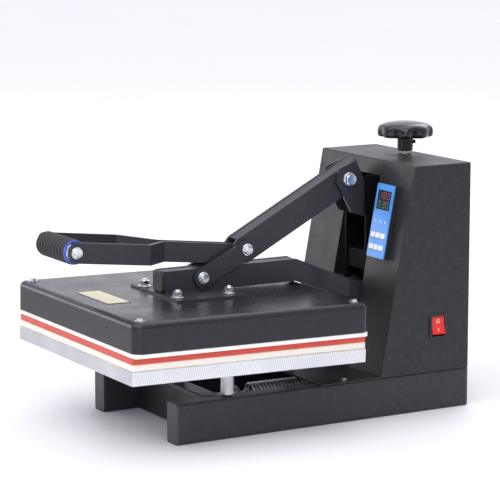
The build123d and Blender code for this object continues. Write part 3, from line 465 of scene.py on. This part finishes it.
# ------------------------------------------------------------------ places taken from the frame
record = frame["record"]
pivot = {
    joint["name"]: Vector(joint["pos_m"])
    for joint in record["behaviour"]["joints"]
    if "pos_m" in joint
}
STACK_PITCH = math.radians(1.0)  # the platens' front end is raised
stack = Matrix.Translation(middle("lower_platen")) @ Matrix.Rotation(-STACK_PITCH, 4, "X")
FELT = (10.0 * MM, 20.0 * MM)
SILICONE = (20.0 * MM, 30.0 * MM)
COVER_TOP = 79.5 * MM
BRACKET_TOP = 82.5 * MM
PLATEN = (376.0 * MM, 384.0 * MM)
front_normal = Vector((0, -math.cos(LEAN), math.sin(LEAN)))


def stack_place(x, y, height):
    """Placement on the platens' plane, from its middle."""
    return stack @ Matrix.Translation((x, y, height))


def outwards(sign, x, point):
    """Placement on one side of the machine whose Z points outwards."""
    return along((sign * x, point.y, point.z), (sign, 0, 0), (0, 1, 0))


# ------------------------------------------------------------------ shapes built ring by ring
def add_shell(shape, rings):
    """Adds a closed skin through rings of points; a ring of one point is a pole."""
    made = [[shape.verts.new(point) for point in ring] for ring in rings]
    for low, high in zip(made, made[1:]):
        count = max(len(low), len(high))
        for k in range(count):
            n = (k + 1) % count
            if len(low) == 1:
                shape.faces.new((low[0], high[k], high[n]))
            elif len(high) == 1:
                shape.faces.new((low[k], low[n], high[0]))
            else:
                shape.faces.new((low[k], low[n], high[n], high[k]))


def add_turned(shape, profile, place, turns=32):
    """Adds a solid turned about Z from (radius, height) points; radius 0 is a pole."""
    rings = []
    for radius, height in profile:
        steps = 1 if radius == 0 else turns
        rings.append([
            place @ Vector((
                radius * math.cos(2 * math.pi * k / turns),
                radius * math.sin(2 * math.pi * k / turns),
                height,
            ))
            for k in range(steps)
        ])
    add_shell(shape, rings)


def add_waved(shape, profile, place, waves, depth, phase=0.0, turns=192):
    """Adds a turned solid whose radius is fluted; profile has (radius, height, flute share)."""
    rings = []
    for radius, height, share in profile:
        ring = []
        for k in range(1 if radius == 0 else turns):
            angle = 2 * math.pi * k / turns
            wave = 0.5 - 0.5 * math.cos(waves * (angle - phase))
            flute = wave * wave * (3 - 2 * wave)
            r = radius - share * depth * flute
            ring.append(place @ Vector((r * math.cos(angle), r * math.sin(angle), height)))
        rings.append(ring)
    add_shell(shape, rings)


def add_hex_head(shape, place, flats, height, turns=48):
    """Adds a hexagon head standing on Z = 0, its corners turned off and its top dished."""
    inner = 0.46 * flats
    levels = [[place @ Vector((0, 0, 0))], [], [], [], [], [place @ Vector((0, 0, height * 0.93))]]
    for k in range(turns):
        angle = 2 * math.pi * k / turns
        off_flat = (angle + math.pi / 6) % (math.pi / 3) - math.pi / 6
        reach = flats / 2 / math.cos(off_flat)
        turn = Vector((math.cos(angle), math.sin(angle), 0))
        up = Vector((0, 0, 1))
        levels[1].append(place @ (reach * turn))
        levels[2].append(place @ (reach * turn + (height - (reach - inner) * 0.577) * up))
        levels[3].append(place @ (inner * turn + height * up))
        levels[4].append(place @ (0.8 * inner * turn + height * 0.94 * up))
    add_shell(shape, levels)


def add_washer(shape, place, radius, thickness):
    """Adds a plain washer with rounded rims."""
    lip = 0.25 * thickness
    add_turned(shape, [
        (0, 0), (radius - lip, 0), (radius, lip), (radius, thickness - lip),
        (radius - lip, thickness), (0, thickness),
    ], place, 48)


def add_bolt(shape, place, flats, height, washer):
    """Adds a washer with a hexagon head on it."""
    thick = 1.5 * MM
    add_washer(shape, place, washer, thick)
    add_hex_head(shape, place @ Matrix.Translation((0, 0, thick)), flats, height)


def add_shank(shape, place, radius, length):
    add_turned(shape, [(0, 0), (radius, 0), (radius, length), (0, length)], place)


def add_block(shape, place, size, bevel):
    """Adds a small block, middle at the placement's origin, with bevelled edges."""
    made = bmesh.ops.create_cube(shape, size=1.0, matrix=place @ Matrix.Diagonal((*size, 1)))
    edges = list({edge for vert in made["verts"] for edge in vert.link_edges})
    if bevel:
        bmesh.ops.bevel(shape, geom=edges, offset=bevel, segments=2, affect="EDGES", profile=0.5)


def rounded_outline(width, length, radius, spacing):
    """Points and outward normals round a rectangle with rounded corners."""
    points = []
    half_x, half_y = width / 2 - radius, length / 2 - radius
    corners = (
        (half_x, half_y, 0), (-half_x, half_y, 90), (-half_x, -half_y, 180), (half_x, -half_y, 270),
    )
    for index, (x, y, start) in enumerate(corners):
        for step in range(7):
            angle = math.radians(start + 15 * step)
            normal = Vector((math.cos(angle), math.sin(angle), 0))
            points.append((Vector((x, y, 0)) + radius * normal, normal))
        begin, normal = points[-1]
        next_x, next_y, _ = corners[(index + 1) % 4]
        end = Vector((next_x, next_y, 0)) + radius * normal
        count = max(1, int((end - begin).length / spacing))
        points += [(begin.lerp(end, step / count), normal) for step in range(1, count)]
    return points


def add_slab(shape, place, width, length, radius, profile, spacing=6.0 * MM, waver=0.0):
    """Adds a rounded slab from (inset, height) rim points, its rim wavering a little."""
    outline = rounded_outline(width, length, radius, spacing)
    levels = [[place @ Vector((0, 0, profile[0][1]))]]
    # A narrow flat band inside each rim keeps the shading of the wide faces flat.
    (first_inset, first_height), (last_inset, last_height) = profile[0], profile[-1]
    band = 0.5 * radius
    rim = [(first_inset + band, first_height), *profile, (last_inset + band, last_height)]
    for inset, height in rim:
        ring = []
        for point, normal in outline:
            drift = waver * noise.noise(Vector((point.x, point.y, height)) * 60.0)
            ring.append(place @ (point - (inset + abs(drift)) * normal + Vector((0, 0, height))))
        levels.append(ring)
    levels.append([place @ Vector((0, 0, profile[-1][1]))])
    add_shell(shape, levels)


def as_piece(name, shape, body, look, replaces=(), smooth_angle=35.0):
    """Finishes a bmesh as a painted piece that may stand in for CAD nodes."""
    piece = from_bmesh(name, shape, body, smooth_angle)
    piece.data.materials.append(paint[look])
    if replaces:
        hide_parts(*replaces)
    return piece


# ------------------------------------------------------------------ pads between the platens
def pad(name, node, look, low, high, bulge, slot, fill):
    """Pad squeezed between the platens: flat faces, soft bulging rim."""
    shape = bmesh.new()
    thick = high - low
    rim = [(bulge + 1.0 * MM, low), (bulge, low + 0.12 * thick)]
    for step in range(1, 8):
        share = step / 8
        rim.append((bulge * (1 - math.sin(math.pi * share)), low + thick * (0.12 + 0.76 * share)))
    rim += [(bulge, high - 0.12 * thick), (bulge + 1.0 * MM, high)]
    width, length = (side - 1.0 * MM for side in PLATEN)
    add_slab(shape, stack, width, length, 3.0 * MM, rim, 5.0 * MM, 0.25 * MM)
    piece = as_piece(name, shape, "base", look, [node], 60.0)


pad("felt_layer", "felt_pad", "felt", *FELT, 0.35 * MM, "cream_felt", 0.9)
pad("silicone_layer", "silicone_pad", "silicone", *SILICONE, 0.25 * MM, "red_silicone", 1.0)

insulation_shape = bmesh.new()
MAT_SIDE = 328.0 * MM
MAT_LOW, MAT_HIGH = 51.2 * MM, 68.8 * MM
mat_rim = [(3 * MM, MAT_LOW), (0, MAT_LOW + 4 * MM), (0, MAT_HIGH - 4 * MM), (3 * MM, MAT_HIGH)]
add_slab(insulation_shape, stack, MAT_SIDE, MAT_SIDE, 8.0 * MM, mat_rim, 12.0 * MM, 0.8 * MM)
insulation_mat = as_piece(
    "insulation_mat", insulation_shape, "head", "insulation", ["insulation_pad"], 60.0
)

# ------------------------------------------------------------------ grip
grip_centre = middle("grip_tube")
grip_line = along(grip_centre, (1, 0, 0), (0, 1, 0))
GRIP_RADIUS = 18.2 * MM
GRIP_HALF = 47.4 * MM
RIB_PITCH = 9.48 * MM


def grip_radius(distance):
    """Outer radius of the ribbed foam at a distance along the grip."""
    off_groove = abs((distance / RIB_PITCH) % 1.0 - 0.5) * 2  # 1 at a groove, 0 on a rib
    groove = 1.7 * MM * math.exp(-(((1 - off_groove) / 0.30) ** 2))
    crown = 0.35 * MM * off_groove**2
    radius = GRIP_RADIUS - groove - crown
    for end, rounding in ((GRIP_HALF, 2.0 * MM), (-GRIP_HALF, 6.5 * MM)):
        inside = rounding - abs(end - distance)
        if inside > 0:
            radius = min(radius, GRIP_RADIUS - rounding + math.sqrt(max(0.0, rounding**2 - inside**2)))
    return radius


GRIP_STEPS = 160
GRIP_BORE = 11.1 * MM
grip_profile = []
for step in range(GRIP_STEPS + 1):
    distance = -GRIP_HALF + 2 * GRIP_HALF * step / GRIP_STEPS
    grip_profile.append((grip_radius(distance), distance))
grip_profile += [(GRIP_BORE, GRIP_HALF), (GRIP_BORE, -GRIP_HALF)]
grip = lathe("ribbed_grip", grip_profile, grip_line, "lever", 72, 60.0)
grip.data.materials.append(paint["foam"])
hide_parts("grip_foam")

# ------------------------------------------------------------------ bolts
PIN_WASHER = 9.0 * MM
_, link_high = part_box("link_bolts")
lever_pin = Vector((0, link_high[1] - PIN_WASHER, link_high[2] - PIN_WASHER))
arm_pin = pivot["link_hinge"]
clevis_pin = pivot["lever_hinge"]
LINK_OUT = 21.0 * MM  # outer face of a link
BAR_OUT = 55.7 * MM  # outer face of a handle bar

link_shape = bmesh.new()
add_shank(link_shape, outwards(1, -LINK_OUT, arm_pin), 5.0 * MM, 2 * LINK_OUT)
for sign in (-1, 1):
    add_shank(link_shape, outwards(sign, LINK_OUT - 5.0 * MM, lever_pin), 5.0 * MM, 5.0 * MM)
    add_bolt(link_shape, outwards(sign, LINK_OUT, arm_pin), 13.0 * MM, 5.3 * MM, PIN_WASHER)
    add_bolt(link_shape, outwards(sign, LINK_OUT, lever_pin), 13.0 * MM, 5.3 * MM, PIN_WASHER)
as_piece("link_bolt_set", link_shape, "link", "zinc", ["link_bolts"])

clevis_shape = bmesh.new()
add_shank(clevis_shape, outwards(1, -LINK_OUT, clevis_pin), 5.0 * MM, 2 * LINK_OUT)
for sign in (-1, 1):
    add_bolt(clevis_shape, outwards(sign, LINK_OUT, clevis_pin), 17.0 * MM, 6.4 * MM, 10.5 * MM)
as_piece("clevis_bolt_set", clevis_shape, "clevis", "zinc", ["clevis_bolt"])

grip_shape = bmesh.new()
add_shank(grip_shape, outwards(1, -BAR_OUT, grip_centre), 4.0 * MM, 2 * BAR_OUT)
for sign in (-1, 1):
    add_washer(grip_shape, outwards(sign, BAR_OUT - 6.0 * MM, grip_centre), 14.0 * MM, 1.0 * MM)
    add_bolt(grip_shape, outwards(sign, BAR_OUT, grip_centre), 13.0 * MM, 5.0 * MM, 8.5 * MM)
as_piece("grip_bolt_set", grip_shape, "lever", "zinc", ["grip_bolts"])

# Each bracket nut stands on a flat washer and a spring washer, with the stud's tip above it.
STUD_FOOT = 42.1 * MM
STUD_TIP = [(0, 0), (3.9 * MM, 0), (3.9 * MM, 2.8 * MM), (3.1 * MM, 3.6 * MM), (0, 3.6 * MM)]
bracket_shape = bmesh.new()
for x in (-52.0 * MM, 52.0 * MM):
    for y in (-49.4 * MM, 36.6 * MM):
        add_shank(bracket_shape, stack_place(x, y, STUD_FOOT), 4.0 * MM, BRACKET_TOP - STUD_FOOT)
        add_washer(bracket_shape, stack_place(x, y, BRACKET_TOP), 10.0 * MM, 1.6 * MM)
        add_washer(bracket_shape, stack_place(x, y, BRACKET_TOP + 1.6 * MM), 6.8 * MM, 2.1 * MM)
        add_hex_head(bracket_shape, stack_place(x, y, BRACKET_TOP + 3.7 * MM), 13.0 * MM, 5.9 * MM)
        add_turned(bracket_shape, STUD_TIP, stack_place(x, y, BRACKET_TOP + 8.2 * MM), 24)
as_piece("bracket_bolt_set", bracket_shape, "head", "zinc", ["bracket_bolts"])

# ------------------------------------------------------------------ star knob
cap_low, cap_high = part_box("knob_cap")
hub_low, hub_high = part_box("knob_hub")
knob_axis = Vector((0, (cap_low[1] + cap_high[1]) / 2, 0))
cap_base = Matrix.Translation(knob_axis + Vector((0, 0, cap_low[2])))
KNOB_PHASE = math.radians(11.0)
KNOB_PROFILE = (  # radius, height and flute share from the crown down, in millimetres
    (0, 24.0, 0), (8, 23.85, 0), (16, 23.3, 0), (23, 22.4, 0), (29, 21.3, 0), (34, 19.9, 0),
    (37.5, 18.5, 0.05), (40.0, 16.8, 0.20), (41.7, 14.8, 0.45), (42.6, 12.5, 0.70), (43.0, 9.8, 0.90),
    (43.0, 6.5, 1.0), (42.8, 3.8, 1.0), (42.0, 1.8, 1.0), (40.3, 0.5, 1.0), (38.0, 0.0, 0.9),
    (20.0, 0.0, 0.1), (16.0, 1.2, 0), (0, 1.2, 0),
)
knob_shape = bmesh.new()
knob_points = [(r * MM, h * MM, share) for r, h, share in reversed(KNOB_PROFILE)]
add_waved(knob_shape, knob_points, cap_base, 8, 5.2 * MM, KNOB_PHASE)
as_piece("star_knob", knob_shape, "knob", "gloss", ["knob_cap"], 50.0)

hub_top = hub_high[2] - hub_low[2] + 1.1 * MM
hub_foot = knob_axis + Vector((0, 0, hub_low[2]))
hub_points = [
    (0, 0, 0), (10.6 * MM, 0, 0), (11.6 * MM, 0.6 * MM, 0), (12.0 * MM, 1.6 * MM, 0),
    (12.0 * MM, 3.0 * MM, 0.2), (12.0 * MM, 4.0 * MM, 1.0), (12.0 * MM, hub_top, 1.0), (0, hub_top, 0),
]
hub_shape = bmesh.new()
add_waved(hub_shape, hub_points, Matrix.Translation(hub_foot), 10, 1.5 * MM, 0.3)
screw_side = Vector((math.cos(math.radians(60)), math.sin(math.radians(60)), 0))
screw_place = along(hub_foot + Vector((0, 0, 14.0 * MM)) + 10.5 * MM * screw_side, screw_side, (0, 0, 1))
screw_profile = [
    (0, 0), (3.0 * MM, 0), (3.0 * MM, 5.0 * MM), (2.5 * MM, 5.5 * MM), (1.4 * MM, 5.5 * MM),
    (1.4 * MM, 4.2 * MM), (0, 4.2 * MM),
]
add_turned(hub_shape, screw_profile, screw_place, 24)
as_piece("knob_boss", hub_shape, "knob", "plastic", ["knob_hub"], 50.0)

# ------------------------------------------------------------------ counterbalance spring
spring_low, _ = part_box("counter_spring")
tail_pin = middle("tail_rod")
SPRING_Z = tail_pin.z
WIRE = 1.7 * MM
COIL = 12.3 * MM
COIL_PITCH = 6.2 * MM
COIL_STEPS = 18  # points on each turn
COIL_LENGTH = 238.0 * MM
NECK = 0.35  # radius share of the first and last turn
HOOK = 6.2 * MM
EYE = 5.7 * MM
front_loop_y = spring_low[1] + EYE + WIRE
coil_front = front_loop_y + 13.0 * MM


def coil_route():
    """Coils of the spring, drawn in to a narrow neck at both ends."""
    turns = COIL_LENGTH / COIL_PITCH
    steps = int(turns * COIL_STEPS)
    route = []
    for step in range(steps + 1):
        share = step / steps
        angle = 2 * math.pi * turns * share
        ease = min(1.0, 2.0 * turns * share, 2.0 * turns * (1 - share))
        radius = COIL * (NECK + (1 - NECK) * ease)
        y = coil_front + COIL_LENGTH * share
        route.append(Vector((radius * math.sin(angle), y, SPRING_Z + radius * math.cos(angle))))
    return route


def end_route(start, place):
    """Open loop at one end of the spring, from a start angle in degrees."""
    angles = [math.radians(start + 13 * step) for step in range(27)]
    return [Vector(place(math.cos(angle), math.sin(angle))) for angle in angles]


front_eye = end_route(100, lambda c, s: (EYE * c, front_loop_y + EYE * s, SPRING_Z))
back_hook = end_route(190, lambda c, s: (0, tail_pin.y + HOOK * c, SPRING_Z + HOOK * s))
spring = tube_along("coil_spring", front_eye + coil_route() + back_hook, WIRE, "base", 10)
spring.data.materials.append(paint["wire"])
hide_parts("counter_spring")
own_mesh(spring)

# ------------------------------------------------------------------ rating plate, without any print
plate_place = stack_place(-7.5 * MM, -139.5 * MM, COVER_TOP)
border_rim = [(0, -0.1 * MM), (0, 0.35 * MM), (0.2 * MM, 0.5 * MM)]
field_rim = [(0, 0.2 * MM), (0, 0.6 * MM), (0.2 * MM, 0.75 * MM)]
border_shape = bmesh.new()
add_slab(border_shape, plate_place, 103.0 * MM, 39.0 * MM, 1.5 * MM, border_rim)
as_piece("plate_border", border_shape, "head", "plate_border")
field_shape = bmesh.new()
add_slab(field_shape, plate_place, 99.0 * MM, 35.0 * MM, 1.0 * MM, field_rim)
as_piece("plate_field", field_shape, "head", "plate_field")

# ------------------------------------------------------------------ display digits
SEGMENTS = {  # across and up in half digits, and whether the bar stands upright
    "a": (0, 1.0, 0), "g": (0, 0.0, 0), "d": (0, -1.0, 0),
    "f": (-1, 0.5, 1), "b": (1, 0.5, 1), "e": (-1, -0.5, 1), "c": (1, -0.5, 1),
}
LIT = {"0": "abcdef", "1": "bc", "3": "abcdg", "8": "abcdefg"}
DIGIT_PITCH = 10.6 * MM
ACROSS_BAR = (4.4 * MM, 1.3 * MM, 0.3 * MM)
UPRIGHT_BAR = (1.3 * MM, 3.4 * MM, 0.3 * MM)
window_face = along(middle("display_window") + 3.35 * MM * front_normal, front_normal)


def display_row(name, text, row, look):
    """Row of seven-segment digits just proud of the window."""
    shape = bmesh.new()
    half_width, half_height = 2.9 * MM, 4.6 * MM
    for place_number, digit in enumerate(text):
        x = (place_number - (len(text) - 1) / 2) * DIGIT_PITCH
        for key in LIT[digit]:
            across, up, upright = SEGMENTS[key]
            spot = Matrix.Translation((x + across * half_width, row + up * half_height, 0.05 * MM))
            add_block(shape, window_face @ spot, UPRIGHT_BAR if upright else ACROSS_BAR, 0)
    as_piece(name, shape, "base", look)


display_row("digits_upper", "180", 7.0 * MM, "digit_red")
display_row("digits_lower", "030", -7.0 * MM, "digit_green")

# ------------------------------------------------------------------ rocker marks
ROCKER_TILT = math.radians(8.0)
ROCKER_HALF = 13.3  # half height of the face, in millimetres
ROCKER_RISE = 1.8  # how far its ends stand above its middle, in millimetres
rocker_pivot = pivot["rocker_tilt"]


def rocker_place(height, slope):
    """Placement on one half of the rocker's face."""
    tilt = Matrix.Translation(rocker_pivot) @ Matrix.Rotation(-ROCKER_TILT, 4, "Y")
    spot = tilt @ Vector((8.6 * MM + ROCKER_RISE / ROCKER_HALF * abs(height), 0, height))
    normal = tilt.to_3x3() @ Vector((ROCKER_HALF, 0, -slope * ROCKER_RISE))
    return along(spot, normal, (0, 1, 0))


line_shape = bmesh.new()
add_block(line_shape, rocker_place(-6.6 * MM, -1), (0.9 * MM, 5.2 * MM, 0.3 * MM), 0)
as_piece("switch_line", line_shape, "rocker", "button")
RING_RADIUS = 2.6 * MM
ring_place = rocker_place(6.6 * MM, 1)
ring_angles = [math.tau * k / 32 for k in range(32)]
ring_route = [ring_place @ (RING_RADIUS * Vector((math.cos(a), math.sin(a), 0))) for a in ring_angles]
switch_ring = tube_along("switch_ring", ring_route, 0.4 * MM, "rocker", 8, closed=True)
switch_ring.data.materials.append(paint["button"])

# ------------------------------------------------------------------ inlet pins
inlet_low, inlet_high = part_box("power_inlet")
inlet_x = (inlet_low[0] + inlet_high[0]) / 2
inlet_z = (inlet_low[2] + inlet_high[2]) / 2
pin_shape = bmesh.new()
for x, z in ((-7.0, -2.0), (0.0, 2.0), (7.0, -2.0)):
    spot = Matrix.Translation((inlet_x + x * MM, inlet_high[1] - 9.0 * MM, inlet_z + z * MM))
    add_block(pin_shape, spot, (2.3 * MM, 15.3 * MM, 4.3 * MM), 0.5 * MM)
as_piece("inlet_pins", pin_shape, "base", "steel")

# ------------------------------------------------------------------ softened edges on plates and sheets
EDGE_WIDTHS = {  # in millimetres
    "rail_left": 0.4, "rail_right": 0.4, "deck_plate": 0.5, "lower_platen": 0.5, "heat_plate": 0.4,
    "tower_cover": 0.9, "column_cheeks": 0.5, "arm_bracket": 0.6, "arm_sides": 0.6, "tail_plates": 0.6,
    "lever_sides": 0.8, "handle_bars": 0.8, "link_plates": 0.6, "clevis_ears": 0.6, "panel_face": 0.4,
    "arm_webs": 0.5, "lever_web": 0.5, "column_top_plate": 0.5, "rocker_bezel": 0.4, "rail_end_caps": 0.6,
    "cover_screws": 0.3, "deck_screws": 0.3, "panel_housing": 0.4, "rocker": 0.3,
}
for name, width in EDGE_WIDTHS.items():
    round_edges(cad[name], width * MM)

# ------------------------------------------------------------------ light and camera
AWAY = (-0.866, 0.5, 0.0)  # level direction the camera looks in


def pale_floor():
    """Floor with painted shade beside the frame, running on into a pale wall behind."""
    look = Look("pale floor", (0.72, 0.72, 0.745), 0.55)
    tone = look.mottle(1.2, 0.02)
    spot = look.node("ShaderNodeNewGeometry").outputs["Position"]
    # Painted shade: the floor is painted grey in a soft spot left of the frame; the front faces reflect
    # it, so they stay dark.
    reach = look.node("ShaderNodeVectorMath", operation="DISTANCE")
    reach.inputs[1].default_value = (-1.3, -1.0, 0.0)
    look.link(spot, reach.inputs[0])
    painted_shade_patch = look.fitted(reach.outputs["Value"], 1.0, 0.0, 0.3, 1.15)
    look.paint(look.mixed(painted_shade_patch, tone, (0.32, 0.32, 0.34)))
    # The wall is as bright as the floor under the lamps.
    run = look.node("ShaderNodeVectorMath", operation="DOT_PRODUCT")
    run.inputs[1].default_value = AWAY
    look.link(spot, run.inputs[0])
    wall = look.fitted(run.outputs["Value"], 0.0, 0.32, 0.3, 3.0)
    look.link(wall, look.surface.inputs["Emission Strength"])
    return look.finish(Emission_Color=(0.96, 0.96, 1.0, 1))


floor_mesh = bpy.data.meshes.new("floor")
floor_shape = bmesh.new()
bmesh.ops.create_grid(floor_shape, x_segments=1, y_segments=1, size=14.0)
floor_shape.to_mesh(floor_mesh)
floor_shape.free()
floor = new_object("floor", floor_mesh)
floor_mesh.materials.append(pale_floor())


def area_light(name, place, size, power, aim_height=0.2):
    """Rectangular lamp aimed at a height on the machine's middle line."""
    data = bpy.data.lights.new(name, "AREA")
    data.shape = "RECTANGLE"
    data.size, data.size_y = size
    data.energy = power
    lamp = bpy.data.objects.new(name, data)
    bpy.context.scene.collection.objects.link(lamp)
    aim = Vector((0, 0, aim_height)) - Vector(place)
    lamp.rotation_euler = aim.to_track_quat("-Z", "Y").to_euler()
    lamp.location = place


area_light("key", (2.4, -0.9, 2.6), (2.2, 2.2), 48.0)
area_light("fill", (0.5, -2.3, 2.9), (2.4, 1.6), 46.0)
area_light("left front", (-2.6, -1.55, 0.62), (1.1, 0.9), 9.0, aim_height=0.3)
area_light("overhead", (0.0, 0.2, 3.4), (3.0, 3.0), 42.0)
area_light("rim", (-1.2, 2.6, 2.2), (2.4, 1.6), 24.0)
area_light("strip", (3.3, -1.75, 0.75), (0.35, 1.5), 9.0)

# The room is brighter behind on the left than on the right.
world = bpy.data.worlds.new("studio")
bpy.context.scene.world = world
world.use_nodes = True
sky = world.node_tree
facing = sky.nodes.new("ShaderNodeVectorMath")
facing.operation = "DOT_PRODUCT"
facing.inputs[1].default_value = (-0.76, 0.55, 0.35)
sky.links.new(sky.nodes.new("ShaderNodeTexCoord").outputs["Generated"], facing.inputs[0])
glow = sky.nodes.new("ShaderNodeMapRange")
for key, value in {"From Min": -1.0, "From Max": 1.0, "To Min": 0.42, "To Max": 1.08}.items():
    glow.inputs[key].default_value = value
sky.links.new(facing.outputs["Value"], glow.inputs["Value"])
sky.nodes["Background"].inputs["Color"].default_value = (0.93, 0.93, 1.0, 1)
sky.links.new(glow.outputs["Result"], sky.nodes["Background"].inputs["Strength"])

VIEW_AZIMUTH = math.radians(60.06)
VIEW_ELEVATION = math.radians(9.636)
camera_data = bpy.data.cameras.new("camera")
camera_data.sensor_width = 36.0
camera_data.lens = 164.9
camera_data.clip_end = 60.0
camera = bpy.data.objects.new("camera", camera_data)
bpy.context.scene.collection.objects.link(camera)
camera.location = (2.9445, -1.6900, 0.8258)
camera.rotation_euler = (math.pi / 2 - VIEW_ELEVATION, 0, VIEW_AZIMUTH)
bpy.context.scene.camera = camera
bpy.context.scene.view_settings.view_transform = "Standard"
